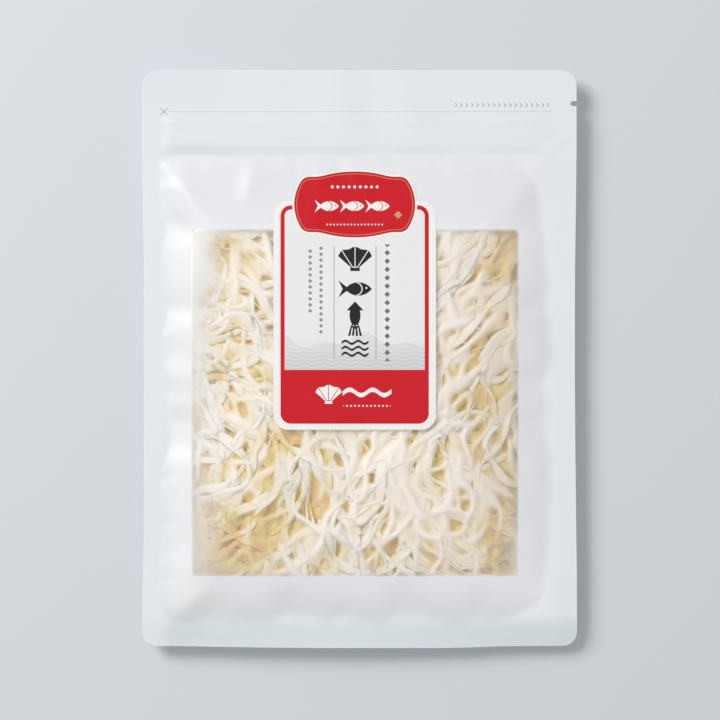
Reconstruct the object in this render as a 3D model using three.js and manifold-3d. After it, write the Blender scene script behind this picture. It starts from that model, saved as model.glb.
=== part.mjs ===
// A sealed, resealable pouch of shredded dried squid that lies on its back.
// The white film has a clear window, which a heap of squid shreds fills, and a stuck-on label.
// Millimetres. +Z is up, +Y points to the zip end, and the origin is on the floor under the middle.

import * as THREE from "three";
import { mergeVertices } from "three/addons/utils/BufferGeometryUtils.js";
import Module from "manifold-3d";

const wasm = await Module();
wasm.setup();

// The flat pouch, seen from above
const WIDTH = 240;
const LENGTH = 319;
const SEAL = 10;
const SIDE_PULL = 1.2;
const FOOT_BOW = 1.3;
const HEAD_CORNER = 9;
const FOOT_CORNER = 8;
const NOTCH = { fromHead: 18.5, depth: 3.3, radius: 1.4 };

// The zip lies in a raised band, and a shallow valley parts it from the swollen body
const HEADER = 47;
const ZIP = { head: 24, foot: 38.5, ramp: 3, lift: 0.9, valley: 0.4 };
const RAIL = { fromHead: [29, 37], radius: 0.9, end: 12, sides: 8 };

// How the pouch swells: the seals stay flat at one height, the front rises over them
// and the back sinks to the floor
const SEAL_HEIGHT = 10.4;
const SEAL_THICKNESS = 0.8;
const HEAD_DROOP = 1;
const FRONT = { rise: 17, side: 113, foot: 125, zip: 200, power: 3.5 };
const BACK = { rise: 14, side: 45, foot: 48, zip: 65, power: 2 };
const HIP = 4;

// Low lumps where the contents press on the front
const LUMP = { height: 0.4, across: 13, along: 17, slanted: 8 };

// Puckers along the side seals and the foot seal
const PUCKER = { height: 0.7, from: 9, reach: 5, sidePitch: 24, footPitch: 34, fade: 20 };

// The window, and the pocket behind it that the squid fills
const WINDOW = { width: 181.3, length: 192.3, x: -2.3, y: -24.4, corner: 3.3 };
const POCKET_FLOOR = 12;
const GAP = 0.3;

// The label: a round-cornered body with a plaque across its head
const LABEL = { width: 89.8, foot: -39.2, shoulder: 87.2, corner: 8, x: -2.5, thickness: 0.6, lift: 0.4 };
const PLAQUE = { width: 69, length: 38.6, y: 85, bulge: 2.4, end: 13, shoulder: 22 };

// The shreds on top of the heap. They slant in towards the label and arch over under it.
const CORE_DEPTH = 3.6;
const SHRED = { columns: 8, rows: 12, length: [36, 80], width: [3.2, 6.4], thickness: [1.8, 2.6], steps: 6 };
const SHRED_DEPTH = [0.3, 1.9];
const SHRED_WEAVE = 0.35;
const SHRED_TURN = 1.7;
const SHRED_BEND = 0.05;
const SLANT = { most: 0.8, sharpness: 2.5, archBelow: -0.6, leanAbove: 0.1 };
const TUCKED = { side: 10, foot: 15 };
const SEED = 7;

const HEAD_Y = LENGTH / 2;
const ZIP_Y = HEAD_Y - HEADER;
const FOOT_SEAL_Y = SEAL - LENGTH / 2;
const SIDE_SEAL_X = WIDTH / 2 - SEAL;
const ABOVE_ALL = SEAL_HEIGHT + 2 * FRONT.rise;

// Each stretch between neighbouring stops, cut into its count of equal steps
function spread(stops, counts) {
  const lines = [stops[0]];
  counts.forEach((count, k) => {
    for (let i = 1; i <= count; i += 1) {
      lines.push(THREE.MathUtils.lerp(stops[k], stops[k + 1], i / count));
    }
  });
  return lines;
}

function seededRandom(seed) {
  let state = seed;
  return () => {
    state = (state * 1664525 + 1013904223) % 4294967296;
    return state / 4294967296;
  };
}

function toSolid(geometry) {
  geometry.deleteAttribute("normal");
  geometry.deleteAttribute("uv");
  const merged = mergeVertices(geometry, 1e-4);
  const triVerts = new Uint32Array(merged.index.array);
  const vertProperties = merged.attributes.position.array;
  return new wasm.Manifold(new wasm.Mesh({ numProp: 3, vertProperties, triVerts }));
}

function toMesh(solid, name, material) {
  const { vertProperties, triVerts } = solid.getMesh();
  const geometry = new THREE.BufferGeometry();
  geometry.setAttribute("position", new THREE.BufferAttribute(vertProperties, 3));
  geometry.setIndex(new THREE.BufferAttribute(triVerts, 1));
  geometry.computeVertexNormals();
  const mesh = new THREE.Mesh(geometry, material);
  mesh.name = name;
  return mesh;
}

// The largest body of a join, without loose scraps and sealed hollows
function mainBody(solid) {
  return solid.decompose().reduce((best, body) => (body.volume() > best.volume() ? body : best));
}

// A solid between two height fields over a net of lines
function between(columns, rows, low, high) {
  const across = columns.length - 1;
  const along = rows.length - 1;
  const geometry = new THREE.BoxGeometry(1, 1, 1, across, along, 1);
  const spots = geometry.getAttribute("position");
  for (let i = 0; i < spots.count; i += 1) {
    const x = columns[Math.round((spots.getX(i) + 0.5) * across)];
    const y = rows[Math.round((spots.getY(i) + 0.5) * along)];
    const height = spots.getZ(i) > 0 ? high : low;
    spots.setXYZ(i, x, y, height(x, y));
  }
  return toSolid(geometry);
}

// An upright prism over an outline
function prism(outline, low, high) {
  const geometry = new THREE.ExtrudeGeometry(outline, {
    depth: high - low,
    bevelEnabled: false,
    curveSegments: 6,
  });
  geometry.translate(0, 0, low);
  return toSolid(geometry);
}

function roundedRectangle(width, length, corner, x, y) {
  const right = x + width / 2;
  const left = x - width / 2;
  const top = y + length / 2;
  const bottom = y - length / 2;
  const outline = new THREE.Shape();
  outline.moveTo(left + corner, bottom);
  outline.lineTo(right - corner, bottom);
  outline.absarc(right - corner, bottom + corner, corner, -Math.PI / 2, 0);
  outline.lineTo(right, top - corner);
  outline.absarc(right - corner, top - corner, corner, 0, Math.PI / 2);
  outline.lineTo(left + corner, top);
  outline.absarc(left + corner, top - corner, corner, Math.PI / 2, Math.PI);
  outline.lineTo(left, bottom + corner);
  outline.absarc(left + corner, bottom + corner, corner, Math.PI, 1.5 * Math.PI);
  return outline;
}

// The cut edge: sides pulled in by the swelling, round corners and the tear notch on the right
function pouchOutline() {
  const right = WIDTH / 2;
  const foot = FOOT_BOW - LENGTH / 2;
  const notch = HEAD_Y - NOTCH.fromHead;
  const notchX = right - NOTCH.depth + NOTCH.radius;
  const swellEnd = notch - 4 * NOTCH.radius;
  const outline = new THREE.Shape();
  outline.moveTo(FOOT_CORNER - right, foot);
  outline.quadraticCurveTo(0, foot - 2 * FOOT_BOW, right - FOOT_CORNER, foot);
  outline.quadraticCurveTo(right, foot + 1, right, foot + FOOT_CORNER);
  outline.quadraticCurveTo(right - 2 * SIDE_PULL, 0, right, swellEnd);
  outline.lineTo(right, notch - NOTCH.radius);
  outline.lineTo(notchX, notch - NOTCH.radius);
  outline.absarc(notchX, notch, NOTCH.radius, 1.5 * Math.PI, 0.5 * Math.PI, true);
  outline.lineTo(right, notch + NOTCH.radius);
  outline.lineTo(right, HEAD_Y - HEAD_CORNER);
  outline.absarc(right - HEAD_CORNER, HEAD_Y - HEAD_CORNER, HEAD_CORNER, 0, Math.PI / 2);
  outline.lineTo(HEAD_CORNER - right, HEAD_Y);
  outline.absarc(HEAD_CORNER - right, HEAD_Y - HEAD_CORNER, HEAD_CORNER, Math.PI / 2, Math.PI);
  outline.lineTo(-right, swellEnd);
  outline.quadraticCurveTo(2 * SIDE_PULL - right, 0, -right, foot + FOOT_CORNER);
  outline.quadraticCurveTo(-right, foot + 1, FOOT_CORNER - right, foot);
  return outline;
}

// How much of its rise a film has reached, from 0 at the seals and the zip to 1 in the middle.
// The slopes from two sides meet in a rounded hip.
function swelling(x, y, film) {
  const lack = (distance, reach) => (1 - THREE.MathUtils.clamp(distance / reach, 0, 1)) ** film.power;
  const side = lack(SIDE_SEAL_X - Math.abs(x), film.side);
  const foot = lack(y - FOOT_SEAL_Y, film.foot);
  const zip = lack(ZIP_Y - y, film.zip);
  return Math.max(0, 1 - (side ** HIP + foot ** HIP + zip ** HIP) ** (1 / HIP));
}

function pucker(x, y) {
  const near = (distance) => Math.exp(-(((distance - PUCKER.from) / PUCKER.reach) ** 2));
  const inside = THREE.MathUtils.clamp((ZIP_Y - y) / PUCKER.fade, 0, 1);
  const side = near(SIDE_SEAL_X - Math.abs(x)) * Math.sin((2 * Math.PI * y) / PUCKER.sidePitch + x);
  const foot = near(y - FOOT_SEAL_Y) * Math.sin((2 * Math.PI * x) / PUCKER.footPitch);
  return PUCKER.height * inside * (side + foot);
}

function lumps(x, y) {
  const straight = Math.sin(x / LUMP.across + 1) * Math.sin(y / LUMP.along);
  const slanted = Math.sin((x - 0.8 * y) / LUMP.slanted);
  return LUMP.height * (straight + slanted / 2);
}

// The height that the zip band adds to both films
function zipLift(y) {
  const fromHead = HEAD_Y - y;
  if (fromHead < ZIP.head || fromHead > HEADER) {
    return 0;
  }
  const up = THREE.MathUtils.smoothstep(fromHead, ZIP.head, ZIP.head + ZIP.ramp);
  const down = THREE.MathUtils.smoothstep(fromHead, ZIP.foot, HEADER);
  return ZIP.lift * up - (ZIP.lift + ZIP.valley) * down;
}

function sealMiddle(y) {
  const intoHeader = Math.max(0, y - ZIP_Y) / HEADER;
  return SEAL_HEIGHT - SEAL_THICKNESS / 2 - HEAD_DROOP * intoHeader ** 2;
}

function frontHeight(x, y) {
  const flat = sealMiddle(y) + SEAL_THICKNESS / 2;
  const lift = Math.abs(x) < SIDE_SEAL_X ? zipLift(y) : 0;
  const swell = swelling(x, y, FRONT);
  return flat + lift + (FRONT.rise + lumps(x, y)) * swell + pucker(x, y);
}

function backHeight(x, y) {
  const flat = sealMiddle(y) - SEAL_THICKNESS / 2;
  const lift = Math.abs(x) < SIDE_SEAL_X ? Math.max(0, zipLift(y)) : 0;
  return Math.max(0, flat - lift - BACK.rise * swelling(x, y, BACK));
}

function zipRail(fromHead) {
  const y = HEAD_Y - fromHead;
  const length = WIDTH - 2 * RAIL.end;
  const rail = new THREE.CylinderGeometry(RAIL.radius, RAIL.radius, length, RAIL.sides);
  rail.rotateZ(Math.PI / 2);
  rail.translate(0, y, sealMiddle(y) + SEAL_THICKNESS / 2 + ZIP.lift);
  return toSolid(rail);
}

function windowOutline(inset) {
  const { width, length, corner, x, y } = WINDOW;
  return roundedRectangle(width - 2 * inset, length - 2 * inset, corner - inset, x, y);
}

function makePouch() {
  const margin = 2;
  const side = WIDTH / 2 + margin;
  const windowLeft = WINDOW.x - WINDOW.width / 2 - margin;
  const windowRight = WINDOW.x + WINDOW.width / 2 + margin;
  const windowFoot = WINDOW.y - WINDOW.length / 2 - margin;
  const windowHead = WINDOW.y + WINDOW.length / 2 + margin;
  const columns = spread(
    [-side, -SIDE_SEAL_X, windowLeft, windowRight, SIDE_SEAL_X, side],
    [1, 3, 10, 3, 1],
  );
  const rows = spread(
    [-HEAD_Y - margin, FOOT_SEAL_Y, windowFoot, windowHead, ZIP_Y, HEAD_Y - ZIP.foot,
      HEAD_Y - ZIP.head - ZIP.ramp, HEAD_Y - ZIP.head, HEAD_Y - SEAL, HEAD_Y + margin],
    [1, 5, 24, 5, 3, 1, 1, 1, 1],
  );
  const pocket = prism(windowOutline(0), POCKET_FLOOR, ABOVE_ALL);
  const body = between(columns, rows, backHeight, frontHeight);
  const railed = RAIL.fromHead.map(zipRail).reduce((solid, rail) => solid.add(rail), body);
  return railed.intersect(prism(pouchOutline(), -margin, ABOVE_ALL)).subtract(pocket);
}

// The direction that shreds keep to at a place in the window
function shredSlant(x, y) {
  const across = Math.tanh((SLANT.sharpness * (x - WINDOW.x)) / (WINDOW.width / 2));
  const up = (y - WINDOW.y) / (WINDOW.length / 2);
  const turn = 2 * THREE.MathUtils.smoothstep(up, SLANT.archBelow, SLANT.leanAbove) - 1;
  const level = Math.sign(across) * (1 - Math.abs(across));
  return Math.PI / 2 - level - turn * SLANT.most * across;
}

// The middle line of one shred, walked both ways from its middle through the slant of the heap
function shredLine(x, y, turn, bend, length) {
  const half = [1, -1].map((way) => {
    const points = [];
    const step = (way * length) / SHRED.steps;
    let at = new THREE.Vector3(x, y, 0);
    for (let i = 0; i < SHRED.steps / 2; i += 1) {
      const angle = shredSlant(at.x, at.y) + turn + bend * i * step;
      at = at.clone().add(new THREE.Vector3(Math.cos(angle), Math.sin(angle), 0).multiplyScalar(step));
      points.push(at);
    }
    return points;
  });
  return new THREE.CatmullRomCurve3([...half[1].reverse(), new THREE.Vector3(x, y, 0), ...half[0]]);
}

// A flat strip along a line, just under the window, thinner and narrower at its torn ends
function makeShred(line, width, thickness, depth, phase) {
  const geometry = new THREE.BoxGeometry(1, 1, 1, SHRED.steps, 1, 1);
  const spots = geometry.getAttribute("position");
  for (let i = 0; i < spots.count; i += 1) {
    const t = spots.getX(i) + 0.5;
    const full = 0.3 + 0.7 * Math.sqrt(Math.sin(Math.PI * t));
    const spot = line.getPointAt(t);
    const along = line.getTangentAt(t);
    const aside = spots.getY(i) * width * full;
    const x = spot.x - along.y * aside;
    const y = spot.y + along.x * aside;
    const weave = SHRED_WEAVE * (1 + Math.sin(3 * Math.PI * t + phase));
    const down = depth + weave + (0.5 - spots.getZ(i)) * thickness * full;
    spots.setXYZ(i, x, y, frontHeight(x, y) - down);
  }
  return toSolid(geometry);
}

// Shreds start from a jittered net, so that they cover the heap evenly, but none starts well under the label
function makeShreds() {
  const random = seededRandom(SEED);
  const draw = ([low, high]) => THREE.MathUtils.lerp(low, high, random());
  const shreds = [];
  for (let i = 0; i < SHRED.columns * SHRED.rows; i += 1) {
    const column = (i % SHRED.columns) + random();
    const row = Math.floor(i / SHRED.columns) + random();
    const x = WINDOW.x + WINDOW.width * (column / SHRED.columns - 0.5);
    const y = WINDOW.y + WINDOW.length * (row / SHRED.rows - 0.5);
    const turn = SHRED_TURN * (random() - 0.5);
    const bend = SHRED_BEND * (random() - 0.5);
    const line = shredLine(x, y, turn, bend, draw(SHRED.length));
    const shred = makeShred(
      line,
      draw(SHRED.width),
      draw(SHRED.thickness),
      draw(SHRED_DEPTH),
      2 * Math.PI * random(),
    );
    const besideLabel = Math.abs(x - LABEL.x) > LABEL.width / 2 - TUCKED.side;
    if (besideLabel || y < LABEL.foot + TUCKED.foot) {
      shreds.push(shred);
    }
  }
  return shreds;
}

function makeSquid() {
  const columns = spread([WINDOW.x - WINDOW.width / 2 - 1, WINDOW.x + WINDOW.width / 2 + 1], [10]);
  const rows = spread([WINDOW.y - WINDOW.length / 2 - 1, WINDOW.y + WINDOW.length / 2 + 1], [12]);
  const low = POCKET_FLOOR + GAP;
  const core = between(columns, rows, () => low, (x, y) => frontHeight(x, y) - CORE_DEPTH);
  const heap = makeShreds().reduce((solid, shred) => solid.add(shred), core);
  return mainBody(heap.intersect(prism(windowOutline(GAP), low, ABOVE_ALL)));
}

function labelBody() {
  const { width, foot, shoulder, corner, x } = LABEL;
  return roundedRectangle(width, shoulder - foot, corner, x, (shoulder + foot) / 2);
}

// The plaque: round ends with small steps, and head and foot edges that bulge in the middle
function plaqueOutline() {
  const { width, length, y, bulge, end, shoulder } = PLAQUE;
  const right = LABEL.x + width / 2;
  const left = LABEL.x - width / 2;
  const top = y + length / 2 - bulge;
  const bottom = y - length / 2 + bulge;
  const outline = new THREE.Shape();
  outline.moveTo(left + end, bottom);
  const low = bottom - bulge;
  const high = top + bulge;
  outline.bezierCurveTo(left + shoulder, low, right - shoulder, low, right - end, bottom);
  outline.quadraticCurveTo(right, bottom, right, y);
  outline.quadraticCurveTo(right, top, right - end, top);
  outline.bezierCurveTo(right - shoulder, high, left + shoulder, high, left + end, top);
  outline.quadraticCurveTo(left, top, left, y);
  outline.quadraticCurveTo(left, bottom, left + end, bottom);
  return outline;
}

function makeLabel() {
  const half = LABEL.width / 2 + 1;
  const columns = spread([LABEL.x - half, LABEL.x + half], [6]);
  const rows = spread([LABEL.foot - 1, PLAQUE.y + PLAQUE.length / 2 + 1], [12]);
  const sheet = between(
    columns,
    rows,
    (x, y) => frontHeight(x, y) + LABEL.lift,
    (x, y) => frontHeight(x, y) + LABEL.lift + LABEL.thickness,
  );
  const cut = prism(labelBody(), 0, ABOVE_ALL).add(prism(plaqueOutline(), 0, ABOVE_ALL));
  return sheet.intersect(cut);
}

const film = new THREE.MeshStandardMaterial({ color: 0xe9ebec, roughness: 0.45, metalness: 0 });
const flesh = new THREE.MeshStandardMaterial({ color: 0xf3e7cf, roughness: 0.8, metalness: 0 });
const paper = new THREE.MeshStandardMaterial({ color: 0xc8102e, roughness: 0.5, metalness: 0 });

const group = new THREE.Group();
group.add(toMesh(makePouch(), "pouch", film));
group.add(toMesh(makeSquid(), "squid", flesh));
group.add(toMesh(makeLabel(), "label", paper));

export default group;
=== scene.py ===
import math

import bmesh
import bpy
import numpy as np
from mathutils import Matrix, Vector


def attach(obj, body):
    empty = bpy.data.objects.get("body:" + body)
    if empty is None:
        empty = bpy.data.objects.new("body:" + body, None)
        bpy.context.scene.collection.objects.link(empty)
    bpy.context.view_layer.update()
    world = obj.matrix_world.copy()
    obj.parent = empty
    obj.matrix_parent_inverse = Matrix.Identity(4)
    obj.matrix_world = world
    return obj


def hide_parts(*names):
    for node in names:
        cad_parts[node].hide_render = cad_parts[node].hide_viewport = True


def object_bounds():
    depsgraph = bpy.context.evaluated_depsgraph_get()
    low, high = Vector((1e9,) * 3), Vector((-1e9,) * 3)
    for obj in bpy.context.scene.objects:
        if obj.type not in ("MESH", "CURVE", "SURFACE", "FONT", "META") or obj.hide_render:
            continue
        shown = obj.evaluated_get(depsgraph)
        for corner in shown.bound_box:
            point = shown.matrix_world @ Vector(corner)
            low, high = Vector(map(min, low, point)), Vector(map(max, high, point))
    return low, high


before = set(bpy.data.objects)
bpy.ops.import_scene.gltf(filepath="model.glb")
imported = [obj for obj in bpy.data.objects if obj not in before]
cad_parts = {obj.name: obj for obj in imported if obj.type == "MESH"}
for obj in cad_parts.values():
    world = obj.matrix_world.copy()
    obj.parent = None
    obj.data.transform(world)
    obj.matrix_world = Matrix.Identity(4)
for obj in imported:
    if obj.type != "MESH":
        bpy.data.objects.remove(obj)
cad_low, cad_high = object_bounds()

# Sizes are in metres. MM lets them be written in millimetres
MM = 0.001

# The pouch, flat: the film outline, its seals, the header with its zip, and the tear notch
HALF_WIDTH = cad_high.x
HALF_LENGTH = cad_high.y
SEAL = 10 * MM
HEAD_CORNER = 9 * MM
FOOT_CORNER = 8 * MM
NOTCH_FROM_HEAD = 18.5 * MM
NOTCH_DEPTH = 3.3 * MM
NOTCH_RADIUS = 1.4 * MM
HEADER = 47 * MM
ZIP_HEAD = 20 * MM
ZIP_FOOT = 40.5 * MM
ZIP_END = 48 * MM
ZIP_RAMP = 10 * MM
ZIP_LIFT = 0.9 * MM
ZIP_VALLEY = 0.4 * MM
RAILS_FROM_HEAD = (29 * MM, 37 * MM)
RAIL_HEIGHT = 0.1 * MM
RAIL_WIDTH = 0.9 * MM
RAIL_CUTS = (-1.35 * MM, -0.45 * MM, 0.45 * MM, 1.35 * MM)
ZIP_Y = HALF_LENGTH - HEADER
FOOT_SEAL_Y = SEAL - HALF_LENGTH
SEAL_X = HALF_WIDTH - SEAL

# Where the cut edges lie, in millimetres: the left and the right edge at heights along the pouch, and the
# foot edge at places across it
LEFT_CUT = (
    (-160, -119.9), (-130, -119.8), (-115, -119.4), (-98, -118.9), (50, -118.9), (84, -119.5), (120, -120),
)
RIGHT_CUT = (
    (-140, 120.3), (-117, 120.2), (-84, 119.8), (-50, 119.4), (0, 119.15), (50, 119.25), (82, 119.7),
    (115, 120.1),
)
FOOT_CUT = (
    (-100, -158.7), (-80, -159.1), (-55, -159.5), (-20, -159.8), (45, -159.8), (60, -159.5), (75, -158.9),
    (100, -158.6),
)
# The width of the band along the cut edge that the film's finish paints lighter, as a painted highlight
RIM = 0.5 * MM

# How the filled pouch swells over the height of its seals
SEAL_HEIGHT = 10.4 * MM
SEAL_THICKNESS = 0.5 * MM
HEAD_DROOP = 1 * MM
FRONT = {
    "rise": 17 * MM, "side": 113 * MM, "foot": 125 * MM, "zip": 200 * MM, "power": 3.5, "foot power": 2.2,
    "quick share": 0.13,
}
BACK = {
    "rise": 14 * MM, "side": 45 * MM, "foot": 48 * MM, "zip": 65 * MM, "power": 2, "foot power": 2,
    "quick share": 0,
}
QUICK_REACH = 18 * MM
HIP_LEFT = 20
HIP_RIGHT = 2.8
ZIP_SOFT = 1.5 * MM
LUMP = 0.4 * MM
LUMP_ACROSS = 13 * MM
LUMP_ALONG = 17 * MM
LUMP_SLANTED = 8 * MM
DRAW_IN = 0.67
FILM = 0.15 * MM
CLEAR_FILM = 0.08 * MM
FRONT_CELL = 1.6 * MM
BACK_CELL = 2.2 * MM
WINDOW_CELL = 2 * MM
LABEL_CELL = 1.6 * MM
SHEET_MARGIN = 2 * MM
NOTCH_REACH = 7 * MM

# How far inside each seal the film starts to rise, and how softly. Bays, where it starts further in, have
# a place along the seal, a depth and a half width. All are in millimetres
RISES = {
    "left": {"start": 0.9, "soft": 0.7, "bays": (
        (108, -2.8, 7), (94, -1.8, 7), (71, 1.6, 8), (27, 2.6, 7), (-19, 2.5, 7), (-34, 4.4, 8),
        (-46, 3.6, 9), (-76, -1.2, 8), (-132, -2.6, 30),
    )},
    "right": {"start": 0.6, "soft": 3.6, "bays": (
        (72, 3.2, 12), (50, 2.4, 10), (28, 1.5, 8), (-14, 2.2, 8), (-34, 3.4, 9), (-70, 0.6, 12),
        (-112, 0.8, 18),
    )},
    "foot": {"start": 0.2, "soft": 4.4, "bays": (
        (-80, 1.5, 16), (-30, 3.6, 12), (-6, 2.2, 8), (33, 3.6, 11), (86, 1.6, 18),
    )},
}

# Places where a slope is gentler or steeper: the place along its seal, its half width, and the share that
# is added to the distance from the seal
SLOPES = {
    "left": (93, 30, -0.22),
    "right": (82, 24, -0.24),
    "foot": (-114, 27, 0.5),
}

# How far the outer edge of each seal droops, at places along it, in millimetres
LEFT_DROOP = ((-150, 0.9), (-90, 0.6), (-20, 0.3), (60, 0.1), (120, 0))
RIGHT_DROOP = ((-150, 1.1), (-110, 0.7), (-50, 0.4), (10, 0), (120, 0))
FOOT_DROOP = (
    (-115, 0.7), (-85, 0.7), (-60, 0.15), (-15, -0.6), (10, -0.4), (40, 0.7), (62, 1.3), (85, 2.4),
    (115, 3.3),
)
DROOP_REACH = 8 * MM

# Puckers run in from the seals: where each starts along its seal, its lean, its depth, how far in it
# reaches and how wide it gets there, all but the lean in millimetres
PUCKERS = {
    "left": (
        (77, -0.3, 0.4, 20, 5), (32.5, 0, 0.45, 36, 13), (2, 0, 0.8, 36, 12), (-44, 0.1, 0.6, 36, 19),
        (-76, 0, 0.5, 32, 10), (-106, 0.1, 0.5, 30, 9), (-66, 0.2, 0.4, 12, 3), (-90, -0.2, 0.4, 11, 3),
        (-122, 0.2, 0.4, 12, 4), (17, 0.3, 0.3, 12, 3.5),
    ),
    "right": (
        (84, 0.2, 0.5, 26, 8), (32, 0, 1.1, 34, 10), (-14, 0.1, 1.6, 34, 11), (-85, 0, 0.8, 30, 11),
        (-46, 0.1, 0.8, 30, 11), (-118, 0, 0.6, 24, 8), (14, 0.2, 0.5, 14, 3.5), (62, -0.2, 0.4, 14, 4),
        (-64, 0.2, 0.4, 11, 3.5), (-100, -0.2, 0.4, 11, 3.5),
    ),
    "foot": (
        (-43.8, 0.15, 1.3, 28, 8), (21.4, -0.1, 1.3, 28, 8), (64.5, 0.05, 1.1, 26, 8), (-84, 0.2, 0.6, 24, 9),
        (-12, 0.2, 0.6, 18, 6), (95, 0, 0.3, 20, 8), (-62, -0.3, 0.4, 11, 3), (3, 0.3, 0.4, 11, 3),
        (42, 0.2, 0.45, 12, 4), (80, -0.2, 0.4, 11, 3), (-28, 0, 0.3, 10, 3),
    ),
    "zip": (
        (-10.6, 0.1, 0.35, 20, 5), (44.6, 0, 0.4, 22, 6), (71.7, 0.1, 0.4, 24, 7), (-36, 0.1, 0.35, 18, 5),
        (-88, 0, 0.25, 14, 6), (18, 0, 0.3, 16, 4.5),
    ),
}

# Ridges in the film, each from one end to the other in millimetres, with its height and its reach to
# the left and to the right of that way
RIDGES = (
    ((-57, 112), (-64, 84), 1.0, 18, 8),
    ((-101, 101), (-83, 70), 0.6, 8, 14),
    ((-103, 89), (-97, 78), 0.35, 4, 5),
    ((107, 112), (66, 68), 0.9, 18, 10),
    ((92, 102), (117, 127), 0.5, 4, 5),
    ((-24, 110), (-20, 97), 0.3, 5, 6),
    ((-4, 111), (0, 96), 0.3, 4, 6),
    ((-110, -152), (-80, -122), 1.3, 11, 18),
)

# The window and the label on the flat film
WINDOW_WIDTH = 181.3 * MM
WINDOW_LENGTH = 192.3 * MM
WINDOW_X = -2.3 * MM
WINDOW_Y = -24.4 * MM
WINDOW_CORNER = 3.3 * MM
LABEL_WIDTH = 89.8 * MM
LABEL_FOOT = -39.2 * MM
LABEL_HEAD = 87.2 * MM
LABEL_CORNER = 8 * MM
LABEL_X = -2.5 * MM
LABEL_THICKNESS = 0.14 * MM
LABEL_GAP = 0.08 * MM
PLAQUE_Y = 85.3 * MM
PLAQUE_HALF_WIDTH = 33.4 * MM
PLAQUE_END_RADIUS = 23.5 * MM
PLAQUE_SHOULDER = 15.3 * MM
PLAQUE_CORNER = 2.4 * MM
PLAQUE_HEAD = 18.2 * MM
PLAQUE_HEAD_RADIUS = 66 * MM
PLAQUE_RIM = 1.1 * MM

# The header's print: a tear line with a cross at its left end, and a row of arrowheads
TEAR_LINE_FROM_HEAD = 22.9 * MM
TEAR_LINE_X = 0.5 * MM
TEAR_LINE_HALF_RUN = 106 * MM
CROSS_X = -107.9 * MM
ARROWS_X = 78 * MM
ARROWS_OVER_LINE = 3.6 * MM
ARROW_PITCH = 3 * MM
PRINT_SOFT = 0.12 * MM

# The film's clouds of tone and its ripples
CLOUD_SIZE = 45 * MM
RIPPLE_SIZE = 11 * MM

# The label's print: the red frame, the panel inside it, and the columns and rows of small shapes. A
# column of dots has its place across, its middle and half its run
FRAME_HALF_WIDTH = 41 * MM
FRAME_HEAD = 84.8 * MM
FRAME_FOOT = -35.9 * MM
FRAME_CORNER = 5.8 * MM
FRAME_LINE = 2.3 * MM
PANEL_FOOT = -6.1 * MM
PANEL_MIDDLE = 31 * MM
RULES_X = (-11.4 * MM, 11.8 * MM)
DOT_COLUMNS = ((-18.6 * MM, 38 * MM, 24.8 * MM), (-24.6 * MM, 43 * MM, 18.2 * MM))
DIAMONDS_X = 18 * MM
CREATURES_HEAD = 55 * MM
CREATURE_PITCH = 16.4 * MM
FOOT_ROW_X = 6.8 * MM
SHOAL_X = -1.4 * MM

# The shredded squid: a core whose top is a web of fused shreds, and single shreds on it
HEAP_MARGIN = 9 * MM
NET_CELL = 0.72 * MM
CORE_DEPTH = 5.2 * MM
CORE_FOOT = 6 * MM
CORE_TOP_OFF_BACK = 2 * MM
CORE_FOOT_OFF_BACK = 1.2 * MM
CLEARANCE = 0.3 * MM
WEB_STRANDS = 380
WEB_LEVEL = (0.4 * MM, 3.2 * MM)
WEB_WIDTH = (2.0 * MM, 5.6 * MM)
WEB_CELLS = 1
WEB_DROP = 0.8 * MM
WEB_PASSES = 3
TOP_STRANDS = 95
FINE_STRANDS = 80
STRAND_LENGTH = (36 * MM, 98 * MM)
STRAND_WIDTH = (2.4 * MM, 6.8 * MM)
STRAND_THICKNESS = (0.55 * MM, 1.0 * MM)
FINE_LENGTH = (22 * MM, 56 * MM)
FINE_WIDTH = (0.8 * MM, 1.9 * MM)
FINE_THICKNESS = 0.6 * MM
FORKED_SHARE = 0.6
FIBRE_SHARE = 0.35
STEEPEST_STEP = 0.45 * MM
STRAND_RINGS = 30
STRAND_SIDES = 10
GRAIN_ALONG = 0.09
END_SINK = 2.2 * MM
# The depth under the film that the squid's colour follows: deeper places are darker and more golden, partly
# the squid's own tone and partly painted warm shade
DEEP = 4.5 * MM
SQUID_SEED = 5

# Places in the window where the squid lies lower: the middle, the reach across and along, and how much
HOLLOWS = (
    ((-88, -104), (24, 30), 3.8),
    ((88, -106), (20, 30), 1.6),
    ((84, 60), (16, 24), 2.2),
    ((-70, 66), (10, 12), 1.0),
    ((-70, 10), (16, 50), 0.6),
    ((78, -20), (22, 70), 1.2),
)

# Places where the clear film is milky, with how much. The two at the foot corners are the film's own haze
# where it stands off the squid; the two on the left are a painted reflection of the softbox
MILK_AND_GLARE_SPOTS = (
    ((-90, -104), (12, 34), 0.26),
    ((91, -110), (9, 20), 0.28),
    ((-91, 62), (10, 34), 0.56),
    ((-92, -5), (9, 58), 0.28),
)

# Colours, in linear red, green and blue: the film, the print, the squid and the floor
HEADER_WHITE = (0.570, 0.598, 0.620)
SEAL_WHITE = (0.584, 0.612, 0.632)
BODY_WHITE = (0.614, 0.624, 0.642)
# Painted light: the film on the body's left slope, made lighter because it faces the softbox
LIT_SLOPE_WHITE = (0.632, 0.641, 0.656)
# Painted shade: the film on the slope above the window, made darker
SHADED_HEAD_SLOPE_WHITE = (0.583, 0.589, 0.605)
CLOUD_WHITE = (0.620, 0.612, 0.620)
# Painted shadow: the foot seal, darker where the shadow under the pouch shows through the film
FOOT_SHADOW_WHITE = (0.515, 0.553, 0.578)
# Painted highlight: the film's cut edge catching light
RIM_HIGHLIGHT_WHITE = (0.68, 0.70, 0.72)
BACK_WHITES = ((0.61, 0.625, 0.64), (0.635, 0.63, 0.63))
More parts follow.
